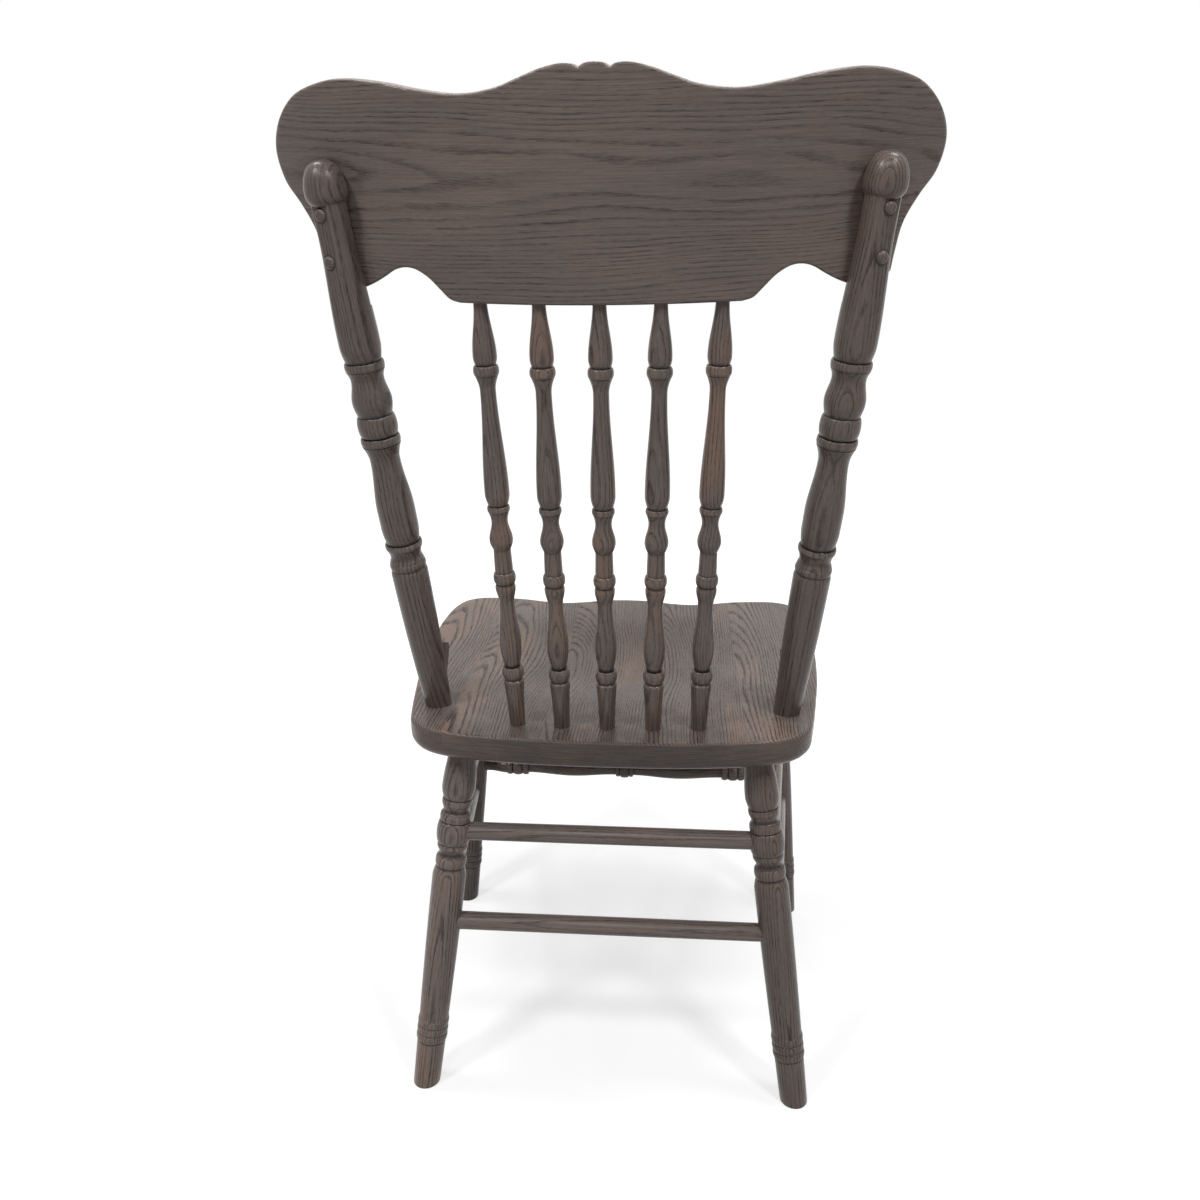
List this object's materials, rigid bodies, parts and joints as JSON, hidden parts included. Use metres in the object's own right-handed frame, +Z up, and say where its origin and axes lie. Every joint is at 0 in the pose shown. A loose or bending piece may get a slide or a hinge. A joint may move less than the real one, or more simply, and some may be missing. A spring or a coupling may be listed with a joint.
{
  "type": "pressback dining chair",
  "caption": "Wooden dining chair with a shaped seat, turned legs, stretchers and back posts, turned spindles and a wide bent crest rail with ears.",
  "frame": {"origin": "on the floor, at the middle of the chair's outer box", "axes": "+Z up, -Y the way the sitter faces, +X the sitter's left"},
  "size_m": [0.568, 0.5415, 1.0404],
  "materials": {
    "seat_oak": "satin",
    "turned_oak": "satin",
    "crest_oak": "satin",
    "screw_steel": "satin"
  },
  "bodies": {
    "root": {"seat": "seat_oak", "leg_front_left": "turned_oak", "leg_front_right": "turned_oak", "leg_rear_left": "turned_oak", "leg_rear_right": "turned_oak", "front_stretcher_upper": "turned_oak", "front_stretcher_lower": "turned_oak", "rear_stretcher_upper": "turned_oak", "rear_stretcher_lower": "turned_oak", "side_stretcher_upper_left": "turned_oak", "side_stretcher_lower_left": "turned_oak", "side_stretcher_upper_right": "turned_oak", "side_stretcher_lower_right": "turned_oak", "back_post_left": "turned_oak", "back_post_right": "turned_oak", "post_brace_left": "turned_oak", "post_brace_right": "turned_oak", "spindle_1": "turned_oak", "spindle_2": "turned_oak", "spindle_3": "turned_oak", "spindle_4": "turned_oak", "spindle_5": "turned_oak", "crest_rail": "crest_oak", "crest_screws": "screw_steel", "screw_plugs": "turned_oak"}
  },
  "joints": []
}
